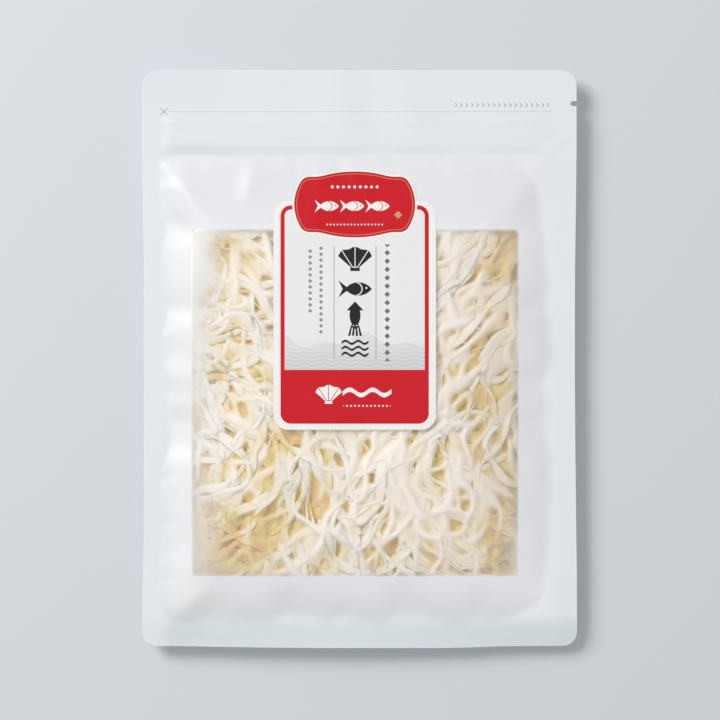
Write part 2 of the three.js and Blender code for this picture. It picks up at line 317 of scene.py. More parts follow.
# The clear film's milk: partly its own haze, partly painted light, as a reflection of the softbox on the left
# and along the window's edge
MILK_AND_GLARE_WHITE = (0.72, 0.715, 0.70)
HEADER_INK = (0.17, 0.19, 0.20)
LABEL_WHITE = (0.665, 0.65, 0.625)
PANEL_WHITE = (0.615, 0.61, 0.615)
SEA_WHITE = (0.60, 0.60, 0.61)
LABEL_RED = (0.45, 0.003, 0.010)
PLAQUE_RED = (0.36, 0.006, 0.014)
PLAQUE_LINE = (0.55, 0.28, 0.13)
DIAMOND_GOLD = (0.42, 0.27, 0.12)
PALE_GREY = (0.42, 0.43, 0.44)
DARK_GREY = (0.12, 0.12, 0.125)
BLACK = (0.012, 0.012, 0.014)
# The squid's pale tones, from where it touches the film down into the gaps, then golden and amber deepest:
# this darkening and warming with depth is partly its own colour and partly painted warm shade
SQUID_PALE = (
    (0.0, (0.81, 0.76, 0.735)),
    (0.25, (0.79, 0.732, 0.668)),
    (0.5, (0.765, 0.692, 0.565)),
    (0.75, (0.735, 0.632, 0.43)),
)
SQUID_GOLDEN = (0.685, 0.55, 0.235)
SQUID_AMBER = (0.66, 0.465, 0.20)
SQUID_RUST = (0.42, 0.21, 0.10)
SQUID_FIBRE = (0.74, 0.65, 0.48)
# Painted shade: the squid is made a little darker towards the right, away from the softbox
SQUID_SHADE = (0.93, 0.92, 0.93)
FLOOR_GREYS = ((0.56, 0.588, 0.617), (0.57, 0.598, 0.627))

# The lights: each one's place, its side in metres and its power in watts
SOFTBOX = ((-1.755, 1.417, 1.8), 1.3, 78)
FILL = ((0, 0, 2.5), 1.6, 21.5)
CARD = ((1.5, -0.85, 0.9), 1.4, 16.5)
SKY = (0.97, 0.985, 1.0)
SKY_STRENGTH = 0.28

# The camera looks straight down on the seals' height
CAMERA_DISTANCE = 1.5
CAMERA_X = 0.44 * MM
CAMERA_Y = -0.66 * MM
PICTURE_WIDTH = 397.9 * MM
SENSOR = 36.0


# Shader values with Python's operators

class Wire:
    """A value in a finish. Arithmetic on it adds Math nodes."""

    def __init__(self, finish, socket):
        self.finish = finish
        self.socket = socket

    def maths(self, operation, *others):
        return self.finish.node("ShaderNodeMath", {"operation": operation}, (self, *others))

    def __add__(self, other):
        return self.maths("ADD", other)

    __radd__ = __add__

    def __sub__(self, other):
        return self.maths("SUBTRACT", other)

    def __rsub__(self, other):
        return self.finish.node("ShaderNodeMath", {"operation": "SUBTRACT"}, (other, self))

    def __mul__(self, other):
        return self.maths("MULTIPLY", other)

    __rmul__ = __mul__

    def __truediv__(self, other):
        return self.maths("DIVIDE", other)

    def __pow__(self, other):
        return self.maths("POWER", other)

    def __neg__(self):
        return self * -1

    def __abs__(self):
        return self.maths("ABSOLUTE")


class Finish:
    """A material in the making. node() adds any node: its type, its settings, then its sockets' values."""

    def __init__(self, name):
        self.material = bpy.data.materials.new(name)
        self.material.use_nodes = True
        self.tree = self.material.node_tree
        self.tree.nodes.clear()

    def node(self, kind, settings, sockets, out=0):
        made = self.tree.nodes.new(kind)
        for name, value in settings.items():
            if name == "stops":
                self.set_stops(made.color_ramp, value)
            else:
                setattr(made, name, value)
        named = sockets.items() if isinstance(sockets, dict) else enumerate(sockets)
        for name, value in named:
            if isinstance(value, Wire):
                self.tree.links.new(value.socket, made.inputs[name])
            elif value is not None:
                socket = made.inputs[name]
                socket.default_value = (*value, 1) if socket.type == "RGBA" else value
        return Wire(self, made.outputs[out])

    def set_stops(self, ramp, stops):
        while len(ramp.elements) < len(stops):
            ramp.elements.new(0.5)
        for element, (place, colour) in zip(ramp.elements, stops):
            element.position = place
            element.color = (*colour, 1)

    def place(self):
        return self.node("ShaderNodeTexCoord", {}, {}, out="Object")

    def flat(self):
        """The two flat coordinates of a film or label, in metres."""
        uv = self.node("ShaderNodeUVMap", {"uv_map": "Flat"}, {})
        across = self.node("ShaderNodeSeparateXYZ", {}, (uv,), out="X")
        along = self.node("ShaderNodeSeparateXYZ", {}, (uv,), out="Y")
        return across, along

    def attribute(self, name, out="Fac"):
        return self.node("ShaderNodeAttribute", {"attribute_name": name}, {}, out=out)

    def noise(self, place, size, detail=2.0, roughness=0.5):
        sockets = {"Vector": place, "Scale": 1 / size, "Detail": detail, "Roughness": roughness}
        return self.node("ShaderNodeTexNoise", {"noise_dimensions": "3D"}, sockets, out="Fac")

    def blend(self, share, first, second, kind="MIX"):
        settings = {"data_type": "RGBA", "blend_type": kind, "clamp_factor": True}
        return self.node("ShaderNodeMix", settings, {0: share, 6: first, 7: second}, out=2)

    def bump(self, height, distance, strength=1.0, normal=None):
        sockets = {"Height": height, "Distance": distance, "Strength": strength, "Normal": normal}
        return self.node("ShaderNodeBump", {}, sockets)

    def surface(self, shader):
        end = self.tree.nodes.new("ShaderNodeOutputMaterial")
        self.tree.links.new(shader.socket, end.inputs["Surface"])
        return self.material

    def opaque(self, sockets):
        """Ends the finish with one plain shader."""
        return self.surface(self.node("ShaderNodeBsdfPrincipled", {}, sockets, out="BSDF"))


def larger(first, second):
    if isinstance(first, Wire):
        return first.maths("MAXIMUM", second)
    return np.maximum(first, second)


def smaller(first, second):
    if isinstance(first, Wire):
        return first.maths("MINIMUM", second)
    return np.minimum(first, second)


def clamp(value):
    if isinstance(value, Wire):
        return value.maths("MAXIMUM", 0).maths("MINIMUM", 1)
    return np.clip(value, 0, 1)


def fade(low, high, value):
    """From 0 at low to 1 at high, smoothly."""
    share = clamp((value - low) / (high - low))
    return share * share * (3 - 2 * share)


# Distances on the flat film, below 0 inside a shape. They work on arrays and in finishes alike

def box_distance(x, y, half_width, half_length, corner):
    aside = abs(x) - (half_width - corner)
    up = abs(y) - (half_length - corner)
    outer = (larger(aside, 0) ** 2 + larger(up, 0) ** 2) ** 0.5
    return outer + smaller(larger(aside, up), 0) - corner


def circle_distance(x, y, radius):
    return (x ** 2 + y ** 2) ** 0.5 - radius


def window_distance(x, y):
    half_width = WINDOW_WIDTH / 2
    half_length = WINDOW_LENGTH / 2
    return box_distance(x - WINDOW_X, y - WINDOW_Y, half_width, half_length, WINDOW_CORNER)


def soft_smaller(first, second, reach):
    """The smaller of two distances, with the corner between them rounded."""
    share = clamp(0.5 + (second - first) / (2 * reach))
    return second - share * (second - first) - reach * share * (1 - share)


def soft_larger(first, second, reach):
    return -soft_smaller(-first, -second, reach)


def plaque_distance(x, y):
    """Barrel ends, flat shoulders, and head and foot edges that bulge in the middle."""
    x = x - LABEL_X
    y = y - PLAQUE_Y
    end = circle_distance(abs(x) + PLAQUE_END_RADIUS - PLAQUE_HALF_WIDTH, y, PLAQUE_END_RADIUS)
    barrel = soft_larger(end, abs(y) - PLAQUE_SHOULDER, PLAQUE_CORNER)
    bulge = circle_distance(x, abs(y) + PLAQUE_HEAD_RADIUS - PLAQUE_HEAD, PLAQUE_HEAD_RADIUS)
    middle = larger(bulge, abs(x) - PLAQUE_HALF_WIDTH * 0.75)
    return soft_smaller(barrel, middle, 0.9 * MM)


def label_body_distance(x, y):
    """Round corners at the foot, and nearly square ones at the head."""
    half_length = (LABEL_HEAD - LABEL_FOOT) / 2
    y = y - (LABEL_HEAD + LABEL_FOOT) / 2
    return box_distance(x - LABEL_X, y, LABEL_WIDTH / 2, half_length, LABEL_CORNER)


def label_distance(x, y):
    return smaller(label_body_distance(x, y), plaque_distance(x, y) - PLAQUE_RIM)


def follow(places, at):
    """Reads a table of places and values, both in millimetres."""
    table = np.array(places) * MM
    return np.interp(at, table[:, 0], table[:, 1])


def pouch_distance(x, y):
    """The cut edge: sides pulled in by the swelling, a bowed foot, round corners and the tear notch."""
    half_width = np.where(x < 0, -follow(LEFT_CUT, y), follow(RIGHT_CUT, y))
    foot = follow(FOOT_CUT, x)
    corner = np.where(y > 0, HEAD_CORNER, FOOT_CORNER)
    aside = abs(x) - (half_width - corner)
    up = np.where(y > 0, y - (HALF_LENGTH - corner), foot + corner - y)
    outer = np.hypot(np.maximum(aside, 0), np.maximum(up, 0))
    edge = outer + np.minimum(np.maximum(aside, up), 0) - corner
    notch_y = y - (HALF_LENGTH - NOTCH_FROM_HEAD)
    notch_x = x - (HALF_WIDTH - NOTCH_DEPTH + NOTCH_RADIUS)
    notch = np.where(notch_x < 0, np.hypot(notch_x, notch_y), abs(notch_y)) - NOTCH_RADIUS
    return np.maximum(edge, -notch)


# The swollen form of the two films

def swelling(x, y, film):
    """How much of its rise a film has reached, from 0 at the seals and the zip to 1 in the middle."""
    def lack(distance, reach, power=film["power"]):
        return (1 - np.clip(distance / reach, 0, 1)) ** power

    from_left = off_seal(x + SEAL_X, y, "left")
    from_right = off_seal(SEAL_X - x, y, "right")
    from_foot = off_seal(y - FOOT_SEAL_Y, x, "foot")
    side = lack(np.where(x < 0, from_left, from_right), film["side"])
    quick = film["quick share"]
    foot = (1 - quick) * lack(from_foot, film["foot"], film["foot power"])
    foot = foot + quick * lack(from_foot, QUICK_REACH, 2)
    head = lack(eased(ZIP_Y - y, ZIP_SOFT), film["zip"])
    sharp = fade(30 * MM, -60 * MM, x) * (0.2 + 0.8 * fade(-125 * MM, -85 * MM, y))
    hip = HIP_RIGHT + (HIP_LEFT - HIP_RIGHT) * sharp
    return np.maximum(0, 1 - (side ** hip + foot ** hip + head ** hip) ** (1 / hip))


def eased(distance, soft):
    """A distance that starts softly from 0."""
    inside = np.maximum(0, distance)
    return np.where(inside < 2 * soft, inside ** 2 / (4 * soft), inside - soft)


def off_seal(distance, along, side):
    """How far a place counts as inside the line where the film starts to rise."""
    rise = RISES[side]
    start = rise["start"] + sum(
        depth * np.exp(-((along / MM - at) / half_width) ** 2) for at, depth, half_width in rise["bays"]
    )
    at, half_width, share = SLOPES[side]
    more = 1 + share * np.exp(-((along / MM - at) / half_width) ** 2)
    return more * eased(distance - start * MM, rise["soft"] * MM)


def seal_droop(x, y):
    """How far the sealed edges hang down towards their cut edge. The foot's droop starts inside its seal."""
    left = follow(LEFT_DROOP, y) * np.maximum(0, -x - SEAL_X) / SEAL
    right = follow(RIGHT_DROOP, y) * np.maximum(0, x - SEAL_X) / SEAL
    out = np.maximum(0, FOOT_SEAL_Y + DROOP_REACH - y) / (SEAL + DROOP_REACH)
    return left + right + follow(FOOT_DROOP, x) * out ** 1.4


def lumps(x, y):
    """The shreds push the film up unevenly."""
    straight = np.sin(x / LUMP_ACROSS + 1) * np.sin(y / LUMP_ALONG)
    slanted = np.sin((x - 0.8 * y) / LUMP_SLANTED)
    return LUMP * (straight + slanted / 2)


def pucker_row(distance, along, places):
    """How deep the valleys are that start at a seal and widen and fade away from it."""
    total = np.zeros_like(distance)
    inside = np.maximum(distance / MM, 0)
    for at, lean, depth, reach, width in places:
        aside = along / MM - at - lean * inside
        valley = np.exp(-(aside / (width * (0.4 + 0.9 * inside / reach))) ** 2)
        grow = fade(0, 0.15 * reach, inside) * (1 - fade(0.3 * reach, reach, inside))
        total += depth * MM * valley * grow
    return total


def puckers(x, y):
    total = pucker_row(x + SEAL_X, y, PUCKERS["left"])
    total += pucker_row(SEAL_X - x, y, PUCKERS["right"])
    total += pucker_row(y - FOOT_SEAL_Y, x, PUCKERS["foot"])
    total += pucker_row(ZIP_Y - y, x, PUCKERS["zip"])
    return total


def ridge(x, y, start, end, height, left, right):
    """A crease that stands up between two ends, with a flank on each side."""
    start = np.array(start) * MM
    way = np.array(end) * MM - start
    length = np.hypot(*way)
    way = way / length
    along = ((x - start[0]) * way[0] + (y - start[1]) * way[1]) / length
    aside = (y - start[1]) * way[0] - (x - start[0]) * way[1]
    reach = np.where(aside > 0, left, right) * MM
    flank = np.clip(1 - np.hypot(aside, 0.5 * MM) / reach, 0, 1)
    taper = np.sin(math.pi * np.clip(along, 0, 1)) ** 0.8
    return height * MM * flank ** 1.3 * taper


def zip_lift(y):
    """The zip's band stands over the header, with its two rails on it and a shallow valley below."""
    from_head = HALF_LENGTH - y
    up = fade(ZIP_HEAD, ZIP_HEAD + ZIP_RAMP, from_head)
    down = fade(ZIP_FOOT, ZIP_END, from_head)
    over = 1 - fade(ZIP_END - 1 * MM, ZIP_END + 4 * MM, from_head)
    rails = sum(np.exp(-((from_head - rail) / RAIL_WIDTH) ** 2) for rail in RAILS_FROM_HEAD)
    return ZIP_LIFT * up - ZIP_LIFT * down - ZIP_VALLEY * down * over + RAIL_HEIGHT * rails


def seal_middle(x, y):
    """The height halfway between the two films where they are sealed."""
    into_header = np.maximum(0, y - ZIP_Y) / HEADER
    return SEAL_HEIGHT - SEAL_THICKNESS / 2 - HEAD_DROOP * into_header ** 2 - seal_droop(x, y)


def inside_seals(x, y):
    """0 on the sealed edges and 1 between them, with a narrow ramp that is wider at the zip."""
    wider = np.where(x < 0, 4, 18) * MM
    ramp = 1.8 * MM + wider * fade(ZIP_Y - 6 * MM, ZIP_Y + 6 * MM, y)
    return fade(0, 1, (SEAL_X - abs(x)) / ramp) * fade(0, 2.2 * MM, y - FOOT_SEAL_Y)


def header_ripple(x, y):
    """Faint upright waves in the header, and its left corner curling up a little."""
    in_header = fade(ZIP_Y - 4 * MM, ZIP_Y + 8 * MM, y)
    waves = np.sin(x / (8.5 * MM) + 1.3 * np.sin(x / (31 * MM)) + y / (40 * MM)) * np.sin(x / (44 * MM) + 1.2)
    slow = np.sin(x / (52 * MM) + y / (30 * MM))
    corner_x = (x + HALF_WIDTH + 12 * MM) / (44 * MM)
    corner_y = (y - HALF_LENGTH - 8 * MM) / (24 * MM)
    corner = np.exp(-corner_x ** 2 - corner_y ** 2)
    return in_header * (0.45 * MM * waves + 0.4 * MM * slow) + 4.2 * MM * corner


def puckered(swell, depth):
    """A swollen height less its puckers, which never cut below the seals."""
    return swell * np.exp(-depth / np.maximum(swell, 0.01 * MM))


def front_height(x, y):
    """The height of the front film's outer face over a place on the flat film."""
    flat = seal_middle(x, y) + SEAL_THICKNESS / 2
    open_film = inside_seals(x, y)
    swell = (FRONT["rise"] + lumps(x, y)) * swelling(x, y, FRONT)
    height = flat + open_film * zip_lift(y) + puckered(swell, puckers(x, y))
    for start, end, rise, left, right in RIDGES:
        height += ridge(x, y, start, end, rise, left, right)
    return height + header_ripple(x, y)


def back_height(x, y):
    """The height of the back film's outer face. The middle lies flat on what the pouch lies on."""
    flat = seal_middle(x, y) - SEAL_THICKNESS / 2
    open_film = inside_seals(x, y)
    lift = np.maximum(0, zip_lift(y))
    height = flat - open_film * lift - puckered(BACK["rise"] * swelling(x, y, BACK), puckers(-x, y))
    return np.maximum(0, height + header_ripple(x, y))


def drawn_in(x, y, height):
    """A filled film draws in as it rises."""
    share = 1 - DRAW_IN * (height - SEAL_HEIGHT)
    return x * share, y * share


# Sheets cut from a flat grid

def flat_grid(low_x, low_y, high_x, high_y, cell):
    columns = round((high_x - low_x) / cell)
    rows = round((high_y - low_y) / cell)
    bm = bmesh.new()
    middle = Vector(((low_x + high_x) / 2, (low_y + high_y) / 2, 0))
    scale = Matrix.Diagonal((high_x - low_x, high_y - low_y, 1, 1))
    matrix = Matrix.Translation(middle) @ scale
    bmesh.ops.create_grid(bm, x_segments=columns, y_segments=rows, size=0.5, matrix=matrix)
    return bm


def cut_along(bm, distance):
    """Splits the faces of a flat sheet where a distance changes sign."""
    near = 0.02 * MM
    bm.verts.index_update()
    places = np.array([v.co for v in bm.verts])
    value = distance(places[:, 0], places[:, 1])
    value[abs(value) < near] = 0
    on_line = [v for v in bm.verts if value[v.index] == 0]
    crossing = [e for e in bm.edges if value[e.verts[0].index] * value[e.verts[1].index] < 0]
    for edge in crossing:
        first, second = edge.verts
        share = value[first.index] / (value[first.index] - value[second.index])
        on_line.append(bmesh.utils.edge_split(edge, first, share)[1])
    bmesh.ops.connect_verts(bm, verts=on_line)


def drop_faces(bm, distance, keep_inside=True):
    """Deletes the faces on one side of a line that the sheet was cut along."""
    dropped = []
    for face in bm.faces:
        middle = face.calc_center_median()
        inside = distance(np.array([middle.x]), np.array([middle.y]))[0] < 0
        if inside != keep_inside:
            dropped.append(face)
    bmesh.ops.delete(bm, geom=dropped, context="FACES")


def refine_near(bm, x, y, reach):
    """Splits the edges near a small feature."""
    near = [e for e in bm.edges if all(math.hypot(v.co.x - x, v.co.y - y) < reach for v in e.verts)]
    bmesh.ops.subdivide_edges(bm, edges=near, cuts=3, use_grid_fill=True)


def add_flat_map(bm):
    layer = bm.loops.layers.uv.new("Flat")
    for face in bm.faces:
        for loop in face.loops:
            loop[layer].uv = loop.vert.co.xy


def add_values(bm, name, values):
    """Keeps a value for each point of a flat sheet."""
    layer = bm.verts.layers.float.new(name)
    places = np.array([v.co for v in bm.verts])
    for vert, value in zip(bm.verts, values(places[:, 0], places[:, 1])):
        vert[layer] = value


def raise_sheet(bm, height):
    """Moves a flat sheet onto the swollen form."""
    places = np.array([v.co for v in bm.verts])
    z = height(places[:, 0], places[:, 1])
    x, y = drawn_in(places[:, 0], places[:, 1], z)
    for vert, place in zip(bm.verts, np.column_stack((x, y, z))):
        vert.co = place


def sharpen_edges(bm):
    """Keeps the shading of a sheet's face clear of its cut edge."""
    for edge in bm.edges:
        edge.smooth = not edge.is_boundary


def add_piece(name, bm, material):
    mesh = bpy.data.meshes.new(name)
    bm.to_mesh(mesh)
    bm.free()
    mesh.materials.append(material)
    mesh.polygons.foreach_set("use_smooth", [True] * len(mesh.polygons))
    piece = bpy.data.objects.new(name, mesh)
    bpy.context.scene.collection.objects.link(piece)
    return piece


def thicken(piece, thickness):
    solid = piece.modifiers.new("Thickness", "SOLIDIFY")
    solid.thickness = thickness
    solid.offset = -1
    solid.use_even_offset = False
    return piece


# Finishes

def white_film():
    """White laminate with a soft gloss: cooler on the header and seals, warmer over the squid. Painted light
    makes the left slope and the cut edge lighter; painted shade darkens the slope above the window, and a
    painted shadow darkens the foot seal.
    """
    finish = Finish("white_film")
    across, along = finish.flat()
    place = finish.place()
    body = fade(ZIP_Y + 2 * MM, ZIP_Y - 12 * MM, along)
    inner = fade(SEAL_X, SEAL_X - 12 * MM, abs(across)) * fade(FOOT_SEAL_Y, FOOT_SEAL_Y + 16 * MM, along)
    leftmost = fade(SEAL_X - 8 * MM, SEAL_X + 2 * MM, -across)
    # Painted light: the left slope of the body, which faces the softbox, is made lighter
    lit_left_slope = fade(60 * MM, 95 * MM, -across)
    # Painted shadow: the foot seal is made darker where the shadow below it would show through, less so at
    # its far left
    foot_shadow_share = fade(FOOT_SEAL_Y + 9 * MM, FOOT_SEAL_Y - 1 * MM, along) * (1 - 0.6 * leftmost)
    # Painted shade: the slope between the window and the zip is made darker
    window_head = WINDOW_Y + WINDOW_LENGTH / 2
    above = fade(window_head - 8 * MM, window_head + 14 * MM, along)
    cloud = finish.noise(place, CLOUD_SIZE)
    white = HEADER_WHITE
    for share, tint in (
        (leftmost * body, SEAL_WHITE),
        (body * inner, BODY_WHITE),
        (body * inner * lit_left_slope, LIT_SLOPE_WHITE),
        (body * inner * above, SHADED_HEAD_SLOPE_WHITE),
        (cloud * 0.35, CLOUD_WHITE),
        (foot_shadow_share, FOOT_SHADOW_WHITE),
        # painted highlight along the cut edge
        (finish.attribute("rim") * 0.5, RIM_HIGHLIGHT_WHITE),
        (header_print(across, along), HEADER_INK),
    ):
        white = finish.blend(share, white, tint)
    normal = finish.bump(finish.noise(place, RIPPLE_SIZE, 2), 0.25 * MM, 0.5)
    normal = finish.bump(finish.noise(place, 0.9 * MM, 3), 0.02 * MM, 0.5, normal)
    return finish.opaque({"Base Color": white, "Roughness": 0.34 + cloud * 0.08, "Normal": normal})


def header_print(across, along):
    """A tear line with a cross at its left end, and a short row of arrowheads above it."""
    up = along - (HALF_LENGTH - TEAR_LINE_FROM_HEAD)
    line = box_distance(across - TEAR_LINE_X, up, TEAR_LINE_HALF_RUN, 0.16 * MM, 0.05 * MM)
    cross_x = across - CROSS_X
    arms = smaller(abs(cross_x - up), abs(cross_x + up)) * math.sqrt(0.5) - 0.22 * MM
    cross = larger(arms, larger(abs(cross_x), abs(up)) - 2 * MM)
    arrows_x = across - ARROWS_X
    arrows_y = up - ARROWS_OVER_LINE
    chevron = abs(repeated(arrows_x + abs(arrows_y), ARROW_PITCH)) - 0.3 * MM
    arrows = larger(chevron, box_distance(arrows_x, arrows_y, 27 * MM, 1.1 * MM, 0))
    ink_line = clamp(0.5 - line / PRINT_SOFT) * 0.4
    ink_marks = clamp(0.5 - smaller(cross, arrows) / PRINT_SOFT) * 0.85
    return larger(ink_line, ink_marks)


def plain_white_film():
    """The back film: the same laminate without print."""
    finish = Finish("plain_white_film")
    place = finish.place()
    cloud = finish.noise(place, CLOUD_SIZE)
    return finish.opaque({
        "Base Color": finish.blend(cloud, *BACK_WHITES),
        "Roughness": 0.34 + cloud * 0.08,
        "Normal": finish.bump(finish.noise(place, RIPPLE_SIZE, 2), 0.25 * MM, 0.5),
    })


def clear_film():
    """Clear film: glossy, and milky where it stands off the squid. Its milk along the window's edge is
    painted light over the white film's shadow on the squid, and on the left it is a painted reflection of the
    softbox.
    """
    finish = Finish("clear_film")
    place = finish.place()
    across, along = finish.flat()
    from_edge = -window_distance(across, along)
    # Painted light: milk close to the window's edge lightens the shadow that the white film casts on the
    # squid there
    edge = (from_edge / (-0.6 * MM)).maths("EXPONENT") * 0.6
    ripple = finish.noise(place, 9 * MM, 2)
    normal = finish.bump(ripple, 0.3 * MM, 0.6)
    clear = finish.node("ShaderNodeBsdfTransparent", {}, {"Color": (1, 1, 1)})
    gloss = finish.node("ShaderNodeBsdfAnisotropic", {}, {"Roughness": 0.28, "Normal": normal})
    facing = finish.node("ShaderNodeLayerWeight", {}, {"Blend": 0.5, "Normal": normal}, out="Facing")
    shine = finish.node("ShaderNodeMixShader", {}, (facing ** 5 * 0.97 + 0.025, clear, gloss))
    milk_and_glare = finish.node("ShaderNodeBsdfDiffuse", {}, {"Color": MILK_AND_GLARE_WHITE})
    haze = clamp(finish.attribute("haze") + edge)
    shader = finish.node("ShaderNodeMixShader", {}, (haze, shine, milk_and_glare))
    return finish.surface(shader)


def sine(value):
    return value.maths("SINE")


def repeated(value, pitch):
    """Runs from minus to plus half a pitch, over and over."""
    return value.maths("WRAP", pitch / 2, -pitch / 2)


def lens_distance(x, y, half_length, half_height):
    """A pointed oval that lies along x."""
    radius = (half_length ** 2 + half_height ** 2) / (2 * half_height)
    return circle_distance(x, abs(y) + radius - half_height, radius)


def fish(x, y, size):
    """A fish that swims to the right, its eye and gill left open."""
    body = lens_distance(x - 0.1 * size, y, 0.4 * size, 0.2 * size)
    behind = -x - 0.2 * size
    tail = larger(abs(y) - 0.02 * size - 0.8 * behind, behind - 0.17 * size - 0.5 * abs(y))
    eye = circle_distance(x - 0.34 * size, y - 0.03 * size, 0.03 * size)
    gill = abs(circle_distance(x - 0.02 * size, y, 0.19 * size)) - 0.016 * size
    gill = larger(gill, 0.05 * size - x)
    return larger(smaller(body, tail), -smaller(eye, gill))


def squid_shape(x, y, size):
    """A squid with its fins up and its arms hanging down."""
    fins = larger(abs(x) - 0.95 * (0.5 * size - y), 0.24 * size - y)
    mantle = lens_distance(y - 0.1 * size, x, 0.38 * size, 0.16 * size)
    head = circle_distance(x, y + 0.2 * size, 0.1 * size)
    below = -y - 0.22 * size
    spread = x / (1 + 2.2 * below / size)
    arms = abs(repeated(spread + 0.035 * size, 0.07 * size)) - 0.022 * size
    arms = larger(arms, larger(abs(spread) - 0.14 * size, abs(below - 0.13 * size) - 0.15 * size))
    eyes = circle_distance(abs(x) - 0.045 * size, y + 0.2 * size, 0.02 * size)
    return larger(smaller(smaller(fins, mantle), smaller(head, arms)), -eyes)


def shell(x, y, size):
    """A scallop shell with its hinge down and its ribs left open."""
    y = y + 0.42 * size
    turn = x.maths("ARCTAN2", y)
    out = circle_distance(x, y, 0)
    rim = out - size * (0.84 + 0.03 * (turn * 11).maths("COSINE"))
    ribs = 0.016 * size - abs(sine(turn * 5.5)) * out / 5.5
    fan = larger(larger(rim, (abs(turn) - 0.85) * out), larger(ribs, 0.16 * size - out))
    hinge = box_distance(x, y - 0.06 * size, 0.17 * size, 0.06 * size, 0.02 * size)
    return smaller(fan, hinge)


def waves(x, y, size, count=3):
    """Rolling lines, one over the other."""
    rise = y - 0.055 * size * sine(x / (0.075 * size))
    pitch = 0.22 * size
    line = abs(repeated(rise + pitch / 2 * (count + 1), pitch)) - 0.045 * size
    return larger(line, larger(abs(x) - 0.5 * size, abs(rise) - pitch / 2 * count))


def dots(along, aside, pitch, radius, half_run):
    """A row of dots along one way, centred."""
    dot = circle_distance(repeated(along, pitch), aside, radius)
    return larger(dot, abs(along) - half_run)


def squid_flesh(name):
    """Dried squid: cream where it lies against the film, darker and golden down in the gaps, with fibres
    along it. The gaps' colour is partly the squid's own and partly painted warm shade, and the right side is
    darker by painted shade.
    """
    finish = Finish(name)
    depth = finish.attribute("depth")
    tone = finish.attribute("tone")
    grain = finish.attribute("grain", out="Vector")
    fibres = finish.noise(grain, 0.9, 3, 0.6)
    patches = finish.noise(finish.place(), 14 * MM, 2)
    warmth = finish.noise(finish.place(), 9 * MM, 1)
    rust = finish.noise(finish.place(), 5 * MM, 1)
    # Deeper under the film the colour turns darker and golden: partly the squid's own tone, partly painted
    # warm shade in the gaps
    deep = clamp(depth + (patches - 0.5) * 0.55 + (tone - 0.5) * 0.4)
    golden = finish.blend(fade(0.4, 0.6, warmth), SQUID_GOLDEN, SQUID_AMBER)
    golden = finish.blend(fade(0.66, 0.74, rust), golden, SQUID_RUST)
    pale = finish.node("ShaderNodeValToRGB", {"stops": SQUID_PALE}, (deep,))
    flesh = finish.blend(fade(0.60, 0.82, deep), pale, golden)
    flesh = finish.blend(clamp(0.5 - fibres), flesh, SQUID_FIBRE)
    across = finish.node("ShaderNodeSeparateXYZ", {}, (finish.place(),), out="X")
    # Painted shade: a little darker towards the right, away from the softbox
    flesh = finish.blend(fade(10 * MM, 75 * MM, across), flesh, SQUID_SHADE, "MULTIPLY")
    return finish.opaque({
        "Base Color": flesh,
        "Roughness": 0.6,
        "Specular IOR Level": 0.2,
        "Subsurface Weight": 0.75,
        "Subsurface Radius": (1.0, 0.92, 0.84),
        "Subsurface Scale": 1.6 * MM,
        "Normal": finish.bump(fibres, 0.2 * MM, 0.6),
    })


